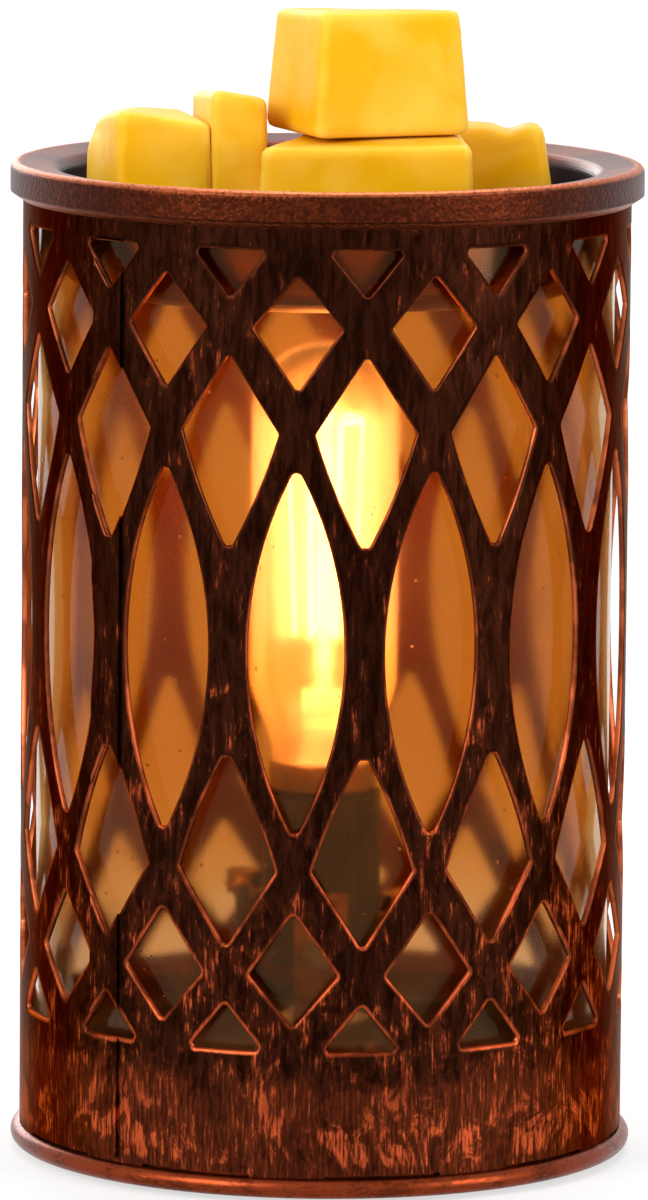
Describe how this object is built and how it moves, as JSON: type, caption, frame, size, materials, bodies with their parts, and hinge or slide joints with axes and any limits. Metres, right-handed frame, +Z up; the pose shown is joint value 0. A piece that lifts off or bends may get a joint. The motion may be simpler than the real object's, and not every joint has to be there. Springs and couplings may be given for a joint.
{
  "type": "electric wax warmer",
  "caption": "Electric wax warmer: a filament lamp in a glass-lined round lattice shell heats a lift-off dish that melts pieces of wax.",
  "frame": {"origin": "on the table, under the middle of the base, at the foot pads' undersides", "axes": "+Z up along the shell's axis, -Y towards the picture's viewer, +X to the picture's right"},
  "size_m": [0.1, 0.1, 0.183],
  "materials": {
    "lattice": "near-black brown with dry-brushed copper",
    "pan": "copper-bronze satin paint",
    "dish": "antique bronze with a pebbly speckle",
    "cover": "black satin paint",
    "zinc": "zinc plated",
    "pad": "matte",
    "grommet": "matte",
    "gasket": "woven glass-fibre",
    "liner_glass": "clear, warm tint",
    "wax": "waxy semi-gloss",
    "strap": "copper-coloured satin",
    "holder": "black phenolic",
    "brass": "bright",
    "ceramic": "unglazed",
    "lead_dark": "insulation",
    "lead_brown": "insulation",
    "splice": "translucent nylon",
    "copper_tin": "copper crimp",
    "bulb_glass": "clear",
    "stem_glass": "clear lead glass",
    "black_glass": "fused black insulator",
    "solder": "solder",
    "leadin": "copper-clad wire",
    "filament": "glowing tungsten",
    "hook": "molybdenum wire"
  },
  "bodies": {
    "base": {"base_pan": "pan", "lattice_shell": "lattice", "bottom_cover": "cover", "cover_posts": "zinc", "cover_screws": "zinc", "foot_pads": "pad", "cord_grommet": "grommet", "liner_gasket": "gasket", "glass_liner": "liner_glass", "lampholder_strap": "strap", "threaded_nipple": "zinc", "nipple_nuts": "brass", "lock_washer": "zinc", "lampholder_base": "holder", "lampholder_body": "holder", "strap_screw": "zinc", "socket_shell": "brass", "contact_insulator": "ceramic", "centre_contact": "brass", "terminal_screws": "brass", "ring_terminals": "copper_tin", "neutral_lead": "lead_dark", "live_lead": "lead_brown", "splice_caps": "splice"},
    "dish": {"dish": "dish"},
    "wax_left": {"wax_left": "wax"},
    "wax_right": {"wax_right": "wax"},
    "wax_front": {"wax_front": "wax"},
    "wax_tall": {"wax_tall": "wax"},
    "wax_top": {"wax_top": "wax"},
    "lamp_tip": {"contact_tip": "solder"},
    "lamp": {"lamp_cap": "brass", "cap_insulator": "black_glass", "lamp_glass": "bulb_glass", "glass_stem": "stem_glass", "leadin_wires": "leadin", "filament": "filament", "filament_hooks": "hook"}
  },
  "joints": [
    {"name": "dish_lift", "type": "slide", "parent": "base", "child": "dish", "axis": [0, 0, 1], "range_m": [0, 0.06]},
    {"name": "wax_left_lift", "type": "slide", "parent": "dish", "child": "wax_left", "axis": [0, 0, 1], "range_m": [0, 0.05]},
    {"name": "wax_right_lift", "type": "slide", "parent": "dish", "child": "wax_right", "axis": [0, 0, 1], "range_m": [0, 0.05]},
    {"name": "wax_front_lift", "type": "slide", "parent": "dish", "child": "wax_front", "axis": [0, 0, 1], "range_m": [0, 0.05]},
    {"name": "wax_tall_lift", "type": "slide", "parent": "dish", "child": "wax_tall", "axis": [0, 0, 1], "range_m": [0, 0.05]},
    {"name": "wax_top_lift", "type": "slide", "parent": "wax_front", "child": "wax_top", "axis": [0, 0, 1], "range_m": [0, 0.05]},
    {"name": "lamp_rise", "type": "slide", "parent": "base", "child": "lamp_tip", "axis": [0, 0, 1], "range_m": [0, 0.00564]},
    {"name": "lamp_turn", "type": "hinge", "parent": "lamp_tip", "child": "lamp", "pos_m": [0, 0, 0.0449], "axis": [0, 0, 1], "range_deg": [0, 720]}
  ],
  "couplings": [
    {"joint": "lamp_rise", "follows": "lamp_turn", "m_per_rad": 0.00044882}
  ]
}
